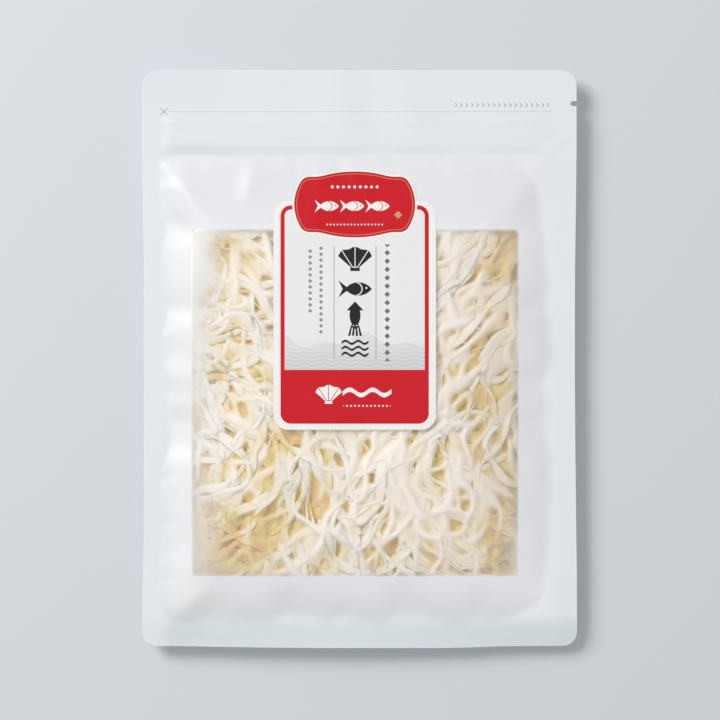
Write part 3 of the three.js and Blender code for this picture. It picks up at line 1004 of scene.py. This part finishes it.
def label_paper():
    """The coated sticker with its print."""
    finish = Finish("label_paper")
    across, y = finish.flat()
    x = across - LABEL_X

    def paint(under, distance, ink, share=1.0):
        return finish.blend(clamp(0.5 - distance / PRINT_SOFT) * share, under, ink)

    tone = LABEL_WHITE
    middle = (FRAME_HEAD + FRAME_FOOT) / 2
    frame_edge = box_distance(x, y - middle, FRAME_HALF_WIDTH, FRAME_HEAD - middle, FRAME_CORNER)
    tone = paint(tone, frame_edge, LABEL_RED)
    panel = larger(frame_edge + FRAME_LINE, PANEL_FOOT - y)
    tone = paint(tone, panel, PANEL_WHITE)
    tone = paint(tone, larger(panel, y - 12 * MM), PALE_GREY, 0.8 * fade(12 * MM, PANEL_FOOT, y))
    hills = y - 10 * MM - 3 * MM * sine(x / (8 * MM) + 1) - 2 * MM * sine(x / (3.7 * MM))
    tone = paint(tone, larger(panel, hills), PALE_GREY, 0.35)
    sea = abs(repeated(y - 0.5 * MM * sine(x / (1.6 * MM)), 2.2 * MM)) - 0.2 * MM
    tone = paint(tone, larger(larger(panel, sea), y - 7 * MM), SEA_WHITE, 0.8)
    panel_y = y - PANEL_MIDDLE
    for rule_x in RULES_X:
        tone = paint(tone, box_distance(x - rule_x, panel_y, 0.16 * MM, 31.2 * MM, 0), DARK_GREY)
    for dots_x, dots_y, half_run in DOT_COLUMNS:
        column = dots(y - dots_y, x - dots_x, 3.3 * MM, 0.95 * MM, half_run)
        tone = paint(tone, column, DARK_GREY, 0.8)
    diamond = abs(x - DIAMONDS_X) + abs(repeated(panel_y, 4.6 * MM)) - 1.6 * MM
    tone = paint(tone, larger(diamond, abs(panel_y) - 32.2 * MM), DARK_GREY)
    creatures = ((shell, 15.5), (fish, 18.5), (squid_shape, 19), (waves, 15))
    for row, (creature, size) in enumerate(creatures):
        at = CREATURES_HEAD - CREATURE_PITCH * row
        tone = paint(tone, creature(x - 0.2 * MM, y - at, size * MM), BLACK)

    tone = paint(tone, shell(x + 14.4 * MM, y + 19.8 * MM, 12 * MM), LABEL_WHITE)
    tone = paint(tone, waves(x - FOOT_ROW_X, y + 18.6 * MM, 27 * MM, 1), LABEL_WHITE)
    foot_dots = dots(x - FOOT_ROW_X, y + 26 * MM, 2.2 * MM, 0.55 * MM, 13 * MM)
    tone = paint(tone, foot_dots, LABEL_WHITE, 0.8)

    plaque = plaque_distance(across, y)
    tone = paint(tone, plaque - PLAQUE_RIM, LABEL_WHITE)
    tone = paint(tone, plaque, PLAQUE_RED)
    tone = paint(tone, plaque + 0.9 * MM, LABEL_RED)
    tone = paint(tone, abs(plaque + 1.3 * MM) - 0.15 * MM, PLAQUE_LINE, 0.7)
    tone = paint(tone, dots(x, y - 95 * MM, 3.1 * MM, 0.8 * MM, 14 * MM), LABEL_WHITE)
    shoal_x = x - SHOAL_X
    shoal = fish(repeated(shoal_x, 14 * MM), y - 84.4 * MM, 13.4 * MM)
    tone = paint(tone, larger(shoal, abs(shoal_x) - 21 * MM), LABEL_WHITE)
    tone = paint(tone, dots(x, y - 74.2 * MM, 1.9 * MM, 0.5 * MM, 16 * MM), LABEL_WHITE, 0.8)
    tone = paint(tone, abs(x - 24 * MM) + abs(y - 79.5 * MM) - 2.2 * MM, DIAMOND_GOLD)
    return finish.opaque({
        "Base Color": tone,
        "Roughness": 0.38,
        "Specular IOR Level": 0.35,
        "Normal": finish.bump(finish.noise(finish.place(), 14 * MM), 0.5 * MM, 0.5),
    })


def floor_finish():
    finish = Finish("pale_floor")
    tone = finish.blend(finish.noise(finish.place(), 2 * MM), *FLOOR_GREYS)
    return finish.opaque({"Base Color": tone, "Roughness": 0.9, "Specular IOR Level": 0.2})


# The films and the label

def lay_sheet(name, bm, height, material, thickness, face_down=False):
    """Lays a cut flat sheet on the swollen form and gives it its thickness."""
    add_flat_map(bm)
    sharpen_edges(bm)
    raise_sheet(bm, height)
    if face_down:
        bmesh.ops.reverse_faces(bm, faces=bm.faces[:])
    return thicken(add_piece(name, bm, material), thickness)


def make_front_film():
    def rim(x, y):
        return pouch_distance(x, y) + RIM

    # Painted highlight: the narrow band along the cut edge that the finish makes lighter
    def on_rim_highlight(x, y):
        return np.where(pouch_distance(x, y) > -RIM / 2, 1.0, 0.0)

    bm = pouch_grid(FRONT_CELL)
    for rail in RAILS_FROM_HEAD:
        for offset in RAIL_CUTS:
            spot = (0, HALF_LENGTH - rail + offset, 0)
            geometry = bm.verts[:] + bm.edges[:] + bm.faces[:]
            bmesh.ops.bisect_plane(bm, geom=geometry, plane_co=spot, plane_no=(0, 1, 0))
    refine_near(bm, HALF_WIDTH, HALF_LENGTH - NOTCH_FROM_HEAD, NOTCH_REACH)
    cut_along(bm, rim)
    cut_along(bm, pouch_distance)
    drop_faces(bm, pouch_distance)
    cut_along(bm, window_distance)
    drop_faces(bm, window_distance, keep_inside=False)
    add_values(bm, "rim", on_rim_highlight)
    return lay_sheet("front_film", bm, front_height, white_film(), FILM)


def pouch_grid(cell):
    half_width = HALF_WIDTH + SHEET_MARGIN
    half_length = HALF_LENGTH + SHEET_MARGIN
    return flat_grid(-half_width, -half_length, half_width, half_length, cell)


def make_back_film():
    bm = pouch_grid(BACK_CELL)
    refine_near(bm, HALF_WIDTH, HALF_LENGTH - NOTCH_FROM_HEAD, NOTCH_REACH)
    cut_along(bm, pouch_distance)
    drop_faces(bm, pouch_distance)
    return lay_sheet("back_film", bm, back_height, plain_white_film(), FILM, face_down=True)


def spots(x, y, places):
    """The sum of soft round spots, each with its middle and reach in millimetres and its strength."""
    total = np.zeros_like(x)
    for middle, reach, strength in places:
        aside = (x / MM - middle[0]) / reach[0]
        up = (y / MM - middle[1]) / reach[1]
        total += strength * np.exp(-aside ** 2 - up ** 2)
    return total


def film_haze_and_glare(x, y):
    """How milky the clear film is: a little all over, more near the window's edge and at some places. At the
    foot corners that is the film's own haze; on the left it is a painted reflection of the softbox.
    """
    from_edge = -window_distance(x, y)
    return 0.04 + 0.10 * np.exp(-from_edge / (14 * MM)) + spots(x, y, MILK_AND_GLARE_SPOTS)


def make_window_film():
    def outline(x, y):
        return window_distance(x, y) + 0.03 * MM

    half_width = WINDOW_WIDTH / 2 + SHEET_MARGIN
    half_length = WINDOW_LENGTH / 2 + SHEET_MARGIN
    bm = flat_grid(
        WINDOW_X - half_width, WINDOW_Y - half_length,
        WINDOW_X + half_width, WINDOW_Y + half_length, WINDOW_CELL,
    )
    cut_along(bm, outline)
    drop_faces(bm, outline)
    add_values(bm, "haze", film_haze_and_glare)
    return lay_sheet("window_film", bm, front_height, clear_film(), CLEAR_FILM)


def make_label():
    def height(x, y):
        wave = 0.06 * MM * (1 + np.sin(x / (9 * MM)) * np.sin(y / (11 * MM) + 1))
        return front_height(x, y) + LABEL_THICKNESS + LABEL_GAP + wave

    bm = flat_grid(
        LABEL_X - LABEL_WIDTH / 2 - SHEET_MARGIN, LABEL_FOOT - SHEET_MARGIN,
        LABEL_X + LABEL_WIDTH / 2 + SHEET_MARGIN, PLAQUE_Y + PLAQUE_HEAD + 3 * MM, LABEL_CELL,
    )
    cut_along(bm, label_distance)
    drop_faces(bm, label_distance)
    return lay_sheet("label_sticker", bm, height, label_paper(), LABEL_THICKNESS)


# The shredded squid: the web of fused shreds, and the strands laid on it one by one

def strand_slant(x, y):
    """The direction that strands keep to at a place in the window."""
    across = math.tanh(2.5 * (x - WINDOW_X) / (WINDOW_WIDTH / 2))
    up = (y - WINDOW_Y) / (WINDOW_LENGTH / 2)
    turn = 2 * float(fade(-0.6, 0.1, up)) - 1
    level = math.copysign(1 - abs(across), across)
    return math.pi / 2 - level - turn * 0.8 * across


class Heap:
    """The height of the squid laid so far, on a net of small square cells under the film."""

    def __init__(self):
        half = np.array((WINDOW_WIDTH / 2, WINDOW_LENGTH / 2)) + HEAP_MARGIN
        self.cells_each_way = np.round(2 * half / NET_CELL).astype(int)
        self.low = np.array((WINDOW_X, WINDOW_Y)) - self.cells_each_way * NET_CELL / 2
        self.high = self.low + self.cells_each_way * NET_CELL
        x = np.linspace(self.low[0], self.high[0], self.cells_each_way[0] + 1)
        y = np.linspace(self.low[1], self.high[1], self.cells_each_way[1] + 1)
        self.x, self.y = np.meshgrid(x, y, indexing="ij")
        self.ceiling = front_height(self.x, self.y) - FILM - CLEARANCE - spots(self.x, self.y, HOLLOWS) * MM
        wave = np.sin(self.x / (5.3 * MM) + 1.7 * np.sin(self.y / (9 * MM))) * np.sin(self.y / (6.1 * MM))
        foot = back_height(self.x, self.y) + CORE_TOP_OFF_BACK
        self.top = np.maximum(self.ceiling - CORE_DEPTH + 0.7 * MM * wave, foot)
        self.grain = np.stack((self.x / MM, 0 * self.x, self.y / MM * GRAIN_ALONG), axis=-1)

    def cells(self, x, y):
        column = np.clip(np.round((x - self.low[0]) / NET_CELL).astype(int), 0, self.cells_each_way[0])
        row = np.clip(np.round((y - self.low[1]) / NET_CELL).astype(int), 0, self.cells_each_way[1])
        return column, row

    def holds(self, x, y):
        return self.low[0] < x < self.high[0] and self.low[1] < y < self.high[1]

    def height(self, x, y):
        return self.top[self.cells(x, y)]

    def raise_strand(self, path, drop, half_width, shift):
        """Raises the net to a strand with a round top and steep sides, a drop below the film."""
        reach = 1.6 * half_width.max()
        first = np.maximum(((path.min(axis=0) - reach - self.low) / NET_CELL).astype(int), 0)
        last = ((path.max(axis=0) + reach - self.low) / NET_CELL).astype(int) + 2
        patch = (slice(first[0], last[0]), slice(first[1], last[1]))
        away = np.hypot(self.x[patch][..., None] - path[:, 0], self.y[patch][..., None] - path[:, 1])
        nearest = away.argmin(axis=-1)
        share = away.min(axis=-1) / half_width[nearest]
        height = self.ceiling[patch] - drop[nearest] - 0.45 * MM * share ** 2
        height -= CORE_DEPTH * fade(0.85, 1.5, share)
        way = np.gradient(path, axis=0)[nearest]
        spot = path[nearest]
        aside = way[..., 0] * (self.y[patch] - spot[..., 1]) - way[..., 1] * (self.x[patch] - spot[..., 0])
        grain = np.stack((aside / MM ** 2, 0 * aside, nearest * GRAIN_ALONG + shift), axis=-1)
        higher = (height > self.top[patch]) & (share < 1.5)
        self.grain[patch][higher] = grain[higher]
        self.top[patch][higher] = height[higher]

    def spread(self, values, pick):
        """Gives each cell the highest or the lowest value of the cells round it."""
        total = values
        steps = range(-WEB_CELLS, WEB_CELLS + 1)
        for across in steps:
            for along in steps:
                if math.hypot(across, along) < WEB_CELLS + 0.5:
                    total = pick(total, np.roll(values, (across, along), axis=(0, 1)))
        return total

    def web(self):
        """Joins strands that lie close by a thin web, and softens every edge."""
        joined = self.spread(self.spread(self.top, np.maximum), np.minimum)
        self.top = np.maximum(self.top, joined - WEB_DROP)
        for axis in (0, 1) * WEB_PASSES:
            self.top = (np.roll(self.top, 1, axis) + 2 * self.top + np.roll(self.top, -1, axis)) / 4


def walk_strand(rng, heap, x, y, length):
    """The flat middle line of a strand, walked both ways from its middle in steps of a millimetre."""
    turn = rng.normal(0, 0.5)
    bend = rng.normal(0, 0.022) / MM
    if rng.random() < 0.08:
        bend = rng.choice((-1, 1)) * rng.uniform(0.06, 0.1) / MM
    sway = rng.uniform(0.1, 0.5)
    wave = rng.uniform(18, 42) * MM
    phase = rng.uniform(0, 2 * math.pi)
    halves = []
    for way in (-1, 1):
        spot = [x, y]
        half = []
        for step in range(int(length / MM / 2)):
            run = way * step * MM
            swing = sway * math.sin(2 * math.pi * run / wave + phase)
            angle = strand_slant(*spot) + turn + bend * run + swing
            spot = [spot[0] + way * MM * math.cos(angle), spot[1] + way * MM * math.sin(angle)]
            if not heap.holds(*spot):
                break
            half.append(spot)
        halves.append(half)
    return np.array(halves[0][::-1] + [[x, y]] + halves[1])


def smoothed(values, reach):
    kernel = np.hanning(2 * reach + 3)
    kernel = kernel / kernel.sum()
    padded = np.pad(values, (reach + 1, reach + 1), mode="edge")
    return np.convolve(padded, kernel, mode="valid")


def lay_strand(heap, path, width, thickness):
    """Drapes a strand's middle line over what lies there, under the film, and returns its heights."""
    way = np.gradient(path, axis=0)
    way /= np.linalg.norm(way, axis=1, keepdims=True) + 1e-9
    side = np.column_stack((-way[:, 1], way[:, 0]))
    offsets = np.linspace(-0.42, 0.42, 5) * width
    spots = path[:, None, :] + side[:, None, :] * offsets[None, :, None]
    column, row = heap.cells(spots[..., 0], spots[..., 1])
    ground = heap.top[column, row].max(axis=1) - 1.05 * thickness
    for index in range(1, len(ground)):
        ground[index] = max(ground[index], ground[index - 1] - STEEPEST_STEP)
    for index in range(len(ground) - 2, -1, -1):
        ground[index] = max(ground[index], ground[index + 1] - STEEPEST_STEP)
    ground = smoothed(ground, 4)
    ceiling = heap.ceiling[heap.cells(path[:, 0], path[:, 1])]
    middle = np.minimum(ground + thickness / 2, smoothed(ceiling, 2) - thickness / 2)
    middle = smoothed(middle, 2)
    run = np.arange(len(middle)) * MM
    middle -= END_SINK * (1 - fade(0, 11 * MM, np.minimum(run, run[::-1])))
    offsets = np.arange(-0.5, 0.51, 0.125) * width
    spots = path[:, None, :] + side[:, None, :] * offsets[None, :, None]
    column, row = heap.cells(spots[..., 0], spots[..., 1])
    crown = np.sqrt(1 - (offsets / (0.55 * width)) ** 2) * thickness / 2
    np.maximum.at(heap.top, (column, row), middle[:, None] + crown[None, :])
    return middle


def strand_template(rings, sides):
    """A straight tube from 0 to 1 along Z with a radius of 1, closed at both ends."""
    bm = bmesh.new()
    matrix = Matrix.Translation((0, 0, 0.5))
    bmesh.ops.create_cone(
        bm, cap_ends=True, segments=sides, radius1=1, radius2=1, depth=1, matrix=matrix,
    )
    along = [e for e in bm.edges if abs(e.verts[0].co.z - e.verts[1].co.z) > 0.5]
    bmesh.ops.subdivide_edges(bm, edges=along, cuts=rings - 2)
    bm.verts.index_update()
    points = np.array([v.co for v in bm.verts])
    faces = [[v.index for v in face.verts] for face in bm.faces]
    bm.free()
    return points, faces


class Bundle:
    """Many strands joined into one mesh."""

    def __init__(self, rings, sides):
        self.points, self.faces = strand_template(rings, sides)
        self.strands = []

    def add(self, line, width, thickness, rng, tone, taper=0.3, flare=0.0):
        """line is an array of points in space, one a millimetre. A flare widens its start."""
        share = self.points[:, 2]
        at = share * (len(line) - 1)
        middle = np.column_stack([np.interp(at, np.arange(len(line)), line[:, axis]) for axis in range(3)])
        way = np.gradient(line, axis=0)
        way = np.column_stack([np.interp(at, np.arange(len(line)), way[:, axis]) for axis in range(3)])
        way /= np.linalg.norm(way, axis=1, keepdims=True) + 1e-12
        side = np.cross((0, 0, 1), way)
        side /= np.linalg.norm(side, axis=1, keepdims=True) + 1e-12
        up = np.cross(way, side)
        length = len(line) * MM
        run = share * length
        tip = np.minimum(run, length - run)
        full = taper + (1 - taper) * fade(0, 9 * MM, tip)
        full = full + flare * (1 - fade(0, 12 * MM, run))
        full = full * np.where(tip < 0.01 * MM, 0.35, 1)
        angle = np.arctan2(self.points[:, 1], self.points[:, 0])
        phase = rng.uniform(0, 2 * math.pi, 5)
        waist = 1 + 0.2 * np.sin(run / (7 * MM) + phase[0]) + 0.12 * np.sin(run / (3.1 * MM) + phase[1])
        lobes = 1 + 0.07 * np.sin(2 * angle + phase[2] + run / (9 * MM)) + 0.08 * np.sin(3 * angle + phase[3])
        roll = rng.normal(0, 0.12) + 0.15 * np.sin(run / (16 * MM) + phase[4])
        wide = np.cos(angle) * width / 2 * full * waist * lobes
        thick = np.sin(angle) * thickness / 2 * (0.4 + 0.6 * full) * lobes
        aside = wide * np.cos(roll) - thick * np.sin(roll)
        above = wide * np.sin(roll) + thick * np.cos(roll)
        place = middle + side * aside[:, None] + up * above[:, None]
        ceiling = front_height(place[:, 0], place[:, 1]) - FILM - 0.1 * MM
        place[:, 2] = np.minimum(place[:, 2], ceiling - rng.uniform(0, 0.5) * MM)
        # Depth under the film sets the colour; the strip's thin side edges count a little deeper, a painted
        # warm shade for the light that would come through them
        depth = (ceiling - place[:, 2]) / DEEP + 0.06 * abs(np.cos(angle)) ** 4
        shift = rng.uniform(0, 500)
        grain = np.column_stack((wide / MM, thick / MM, run / MM * GRAIN_ALONG + shift))
        self.strands.append((place, depth, np.full(len(place), tone), grain))

    def piece(self, name, material):
        size = len(self.points)
        faces = []
        for index in range(len(self.strands)):
            faces.extend([[corner + index * size for corner in face] for face in self.faces])
        places = np.concatenate([s[0] for s in self.strands])
        share = 1 - DRAW_IN * (places[:, 2:] - SEAL_HEIGHT)
        places[:, :2] *= share
        mesh = bpy.data.meshes.new(name)
        mesh.from_pydata(places, [], faces)
        for key, label in ((1, "depth"), (2, "tone")):
            values = np.concatenate([s[key] for s in self.strands])
            mesh.attributes.new(label, "FLOAT", "POINT").data.foreach_set("value", values)
        grain = np.concatenate([s[3] for s in self.strands])
        mesh.attributes.new("grain", "FLOAT_VECTOR", "POINT").data.foreach_set("vector", grain.ravel())
        mesh.materials.append(material)
        mesh.shade_smooth()
        piece = bpy.data.objects.new(name, mesh)
        bpy.context.scene.collection.objects.link(piece)
        return piece


def core_foot(x, y):
    """A flat foot, raised where the back film comes close."""
    back = back_height(np.array([x]), np.array([y]))[0]
    return max(CORE_FOOT, back + CORE_FOOT_OFF_BACK)


def close_below(bm, foot):
    """Draws a sheet's edge down to its foot and closes it there."""
    edges = [e for e in bm.edges if e.is_boundary]
    made = bmesh.ops.extrude_edge_only(bm, edges=edges)["geom"]
    for vert in made:
        if isinstance(vert, bmesh.types.BMVert):
            vert.co.z = foot(vert.co.x, vert.co.y)
    rim = [e for e in made if isinstance(e, bmesh.types.BMEdge) and e.is_boundary]
    bmesh.ops.contextual_create(bm, geom=rim)


def make_core(heap, material):
    bm = flat_grid(*heap.low, *heap.high, NET_CELL)
    grain = bm.verts.layers.float_vector.new("grain")
    for vert in bm.verts:
        vert[grain] = heap.grain[heap.cells(vert.co.x, vert.co.y)]
    # The core's depth under the film sets its colour: darker and golden in the gaps, partly as painted warm
    # shade
    add_values(bm, "depth", lambda x, y: (front_height(x, y) - heap.height(x, y)) / DEEP)
    add_values(bm, "tone", lambda x, y: np.full_like(x, 0.5))
    raise_sheet(bm, heap.height)
    close_below(bm, core_foot)
    return add_piece("squid_core", bm, material)


def roomiest(rng, heap, tries):
    """Of a few random places in the window, the one with the most room under the film."""
    best = None
    for _ in range(tries):
        x = WINDOW_X + rng.uniform(-0.5, 0.5) * (WINDOW_WIDTH + HEAP_MARGIN)
        y = WINDOW_Y + rng.uniform(-0.5, 0.5) * (WINDOW_LENGTH + HEAP_MARGIN)
        cell = heap.cells(x, y)
        room = heap.ceiling[cell] - heap.top[cell]
        if best is None or room > best[0]:
            best = (room, x, y)
    return best[1:]


def under_label(x, y):
    """No single shred is laid where the label hides it."""
    return abs(x - LABEL_X) < LABEL_WIDTH / 2 - 12 * MM and y > LABEL_FOOT + 14 * MM


def lay_web(rng, heap):
    """Lays the fused strands, each weaving up and down under the film, and joins them."""
    for _ in range(WEB_STRANDS):
        x, y = roomiest(rng, heap, 2)
        path = walk_strand(rng, heap, x, y, rng.uniform(*STRAND_LENGTH))
        run = np.arange(len(path)) * MM
        sunk = 1 - fade(0, 12 * MM, np.minimum(run, run[::-1]))
        level = rng.uniform(*WEB_LEVEL) + 0.7 * MM * np.sin(run / (9 * MM) + rng.uniform(0, 6))
        drop = np.maximum(level, 0) + 1.5 * MM * sunk
        waist = 1 + 0.25 * np.sin(run / (8 * MM) + rng.uniform(0, 6))
        half_width = rng.uniform(*WEB_WIDTH) / 2 * waist * (1 - 0.5 * sunk)
        heap.raise_strand(path, drop, half_width, rng.uniform(0, 500))
    heap.web()


def make_squid():
    rng = np.random.default_rng(SQUID_SEED)
    heap = Heap()
    flesh = squid_flesh("squid_flesh")
    lay_web(rng, heap)
    pieces = [make_core(heap, flesh)]
    layers = [Bundle(STRAND_RINGS, STRAND_SIDES) for _ in range(2)]
    fibres = Bundle(7, 4)
    for index in range(TOP_STRANDS):
        x, y = roomiest(rng, heap, 2)
        length = rng.uniform(*STRAND_LENGTH)
        width = rng.uniform(*STRAND_WIDTH)
        thickness = rng.uniform(*STRAND_THICKNESS)
        path = walk_strand(rng, heap, x, y, length)
        if under_label(x, y) or len(path) < 22:
            continue
        layer = layers[index * len(layers) // TOP_STRANDS]
        middle = lay_strand(heap, path, width, thickness)
        line = np.column_stack((path, middle))
        tone = rng.random()
        layer.add(line, width, thickness, rng, tone)
        if rng.random() < FORKED_SHARE:
            add_fork(heap, layer, line, width, thickness, rng, tone)
        if rng.random() < FIBRE_SHARE:
            add_fibre(fibres, line, rng, tone)
    for layer, name in zip(layers, ("low", "top")):
        pieces.append(layer.piece("squid_shreds_" + name, flesh))
    pieces.append(make_fine_shreds(rng, heap, flesh))
    pieces.append(fibres.piece("squid_fibres", flesh))
    return pieces


def make_fine_shreds(rng, heap, material):
    """Thin torn strips that lie flat on the rest."""
    shreds = Bundle(18, 6)
    for _ in range(FINE_STRANDS):
        x, y = roomiest(rng, heap, 1)
        path = walk_strand(rng, heap, x, y, rng.uniform(*FINE_LENGTH))
        if under_label(x, y) or len(path) < 16:
            continue
        width = rng.uniform(*FINE_WIDTH)
        middle = lay_strand(heap, path, width, FINE_THICKNESS)
        shreds.add(np.column_stack((path, middle)), width, FINE_THICKNESS, rng, rng.random())
    return shreds.piece("squid_shreds_fine", material)


def branch(line, start, way, lean, length, curl):
    """A line that leaves another at a point of it, leaning away and following its height."""
    spot = line[start].copy()
    heading = line[min(start + 2, len(line) - 1)] - line[max(start - 2, 0)]
    angle = math.atan2(heading[1] * way, heading[0] * way) + lean
    points = [spot.copy()]
    for step in range(int(length / MM)):
        angle += curl
        spot = spot + np.array((math.cos(angle), math.sin(angle), 0)) * MM
        points.append(spot.copy())
    return np.array(points)


def add_fork(heap, layer, line, width, thickness, rng, tone):
    """A narrower strip torn from a shred's side, laid on what is there."""
    start = int(len(line) * rng.uniform(0.3, 0.7))
    way = rng.choice((-1, 1))
    lean = rng.choice((-1, 1)) * rng.uniform(0.15, 0.4)
    fork = branch(line, start, way, lean, rng.uniform(16, 38) * MM, rng.normal(0, 0.012))
    held = [heap.holds(x, y) for x, y in fork[:, :2]]
    fork = fork[:held.index(False)] if False in held else fork
    if len(fork) < 10:
        return
    laid = lay_strand(heap, fork[:, :2], width * 0.5, thickness * 0.8)
    blend = fade(0, 8, np.arange(len(fork)).astype(float))
    fork[:, 2] = fork[:, 2] * (1 - blend) + laid * blend
    layer.add(fork, width * rng.uniform(0.4, 0.6), thickness * 0.8, rng, tone, flare=0.7)


def add_fibre(fibres, line, rng, tone):
    """A short hair that stands off a shred."""
    start = rng.integers(2, len(line) - 2)
    way = rng.choice((-1, 1))
    lean = rng.choice((-1, 1)) * rng.uniform(0.1, 0.5)
    hair = branch(line, start, way, lean, rng.uniform(7, 20) * MM, rng.normal(0, 0.04))
    hair[:, 2] += 0.3 * MM
    fibres.add(hair, rng.uniform(0.5, 1.1) * MM, 0.4 * MM, rng, tone, taper=0.2)


# Light, floor and camera

def make_floor():
    bm = bmesh.new()
    bmesh.ops.create_grid(bm, x_segments=1, y_segments=1, size=3)
    floor = add_piece("floor", bm, floor_finish())
    floor.location.z = -0.05 * MM


def add_light(name, place, size, power):
    """A square lamp that looks at the pouch."""
    light = bpy.data.lights.new(name, "AREA")
    light.shape = "SQUARE"
    light.size = size
    light.energy = power
    lamp = bpy.data.objects.new(name, light)
    lamp.location = place
    lamp.rotation_euler = Vector(place).to_track_quat("Z", "Y").to_euler()
    bpy.context.scene.collection.objects.link(lamp)
    return lamp


def light_only(lamp, pieces):
    """Keeps a reflector card's light off the floor."""
    lit = bpy.data.collections.new("lit_by_" + lamp.name)
    for piece in pieces:
        lit.objects.link(piece)
    lamp.light_linking.receiver_collection = lit


def make_lights(pieces):
    """A softbox at the upper left, a fill from above, and a reflector card at the lower right."""
    add_light("softbox", *SOFTBOX)
    fill = add_light("fill", *FILL)
    fill.data.use_shadow = False
    fill.visible_glossy = False
    card = add_light("card", *CARD)
    card.visible_glossy = False
    light_only(card, pieces)
    world = bpy.data.worlds.new("studio")
    world.use_nodes = True
    background = world.node_tree.nodes["Background"]
    background.inputs["Color"].default_value = (*SKY, 1)
    background.inputs["Strength"].default_value = SKY_STRENGTH
    bpy.context.scene.world = world
    bpy.context.scene.view_settings.view_transform = "Standard"


def make_camera():
    lens = bpy.data.cameras.new("camera")
    lens.sensor_width = SENSOR
    lens.lens = SENSOR * CAMERA_DISTANCE / PICTURE_WIDTH
    camera = bpy.data.objects.new("camera", lens)
    camera.location = (CAMERA_X, CAMERA_Y, SEAL_HEIGHT + CAMERA_DISTANCE)
    bpy.context.scene.collection.objects.link(camera)
    bpy.context.scene.camera = camera


make_camera()
make_floor()
films = [make_front_film(), make_window_film(), make_back_film()]
sticker = make_label()
squid = make_squid()
for film_piece in films:
    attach(film_piece, "root")
    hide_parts("pouch")
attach(sticker, "root")
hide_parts("label")
for squid_piece in squid:
    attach(squid_piece, "root")
    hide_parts("squid")
make_lights([*films, sticker, *squid])
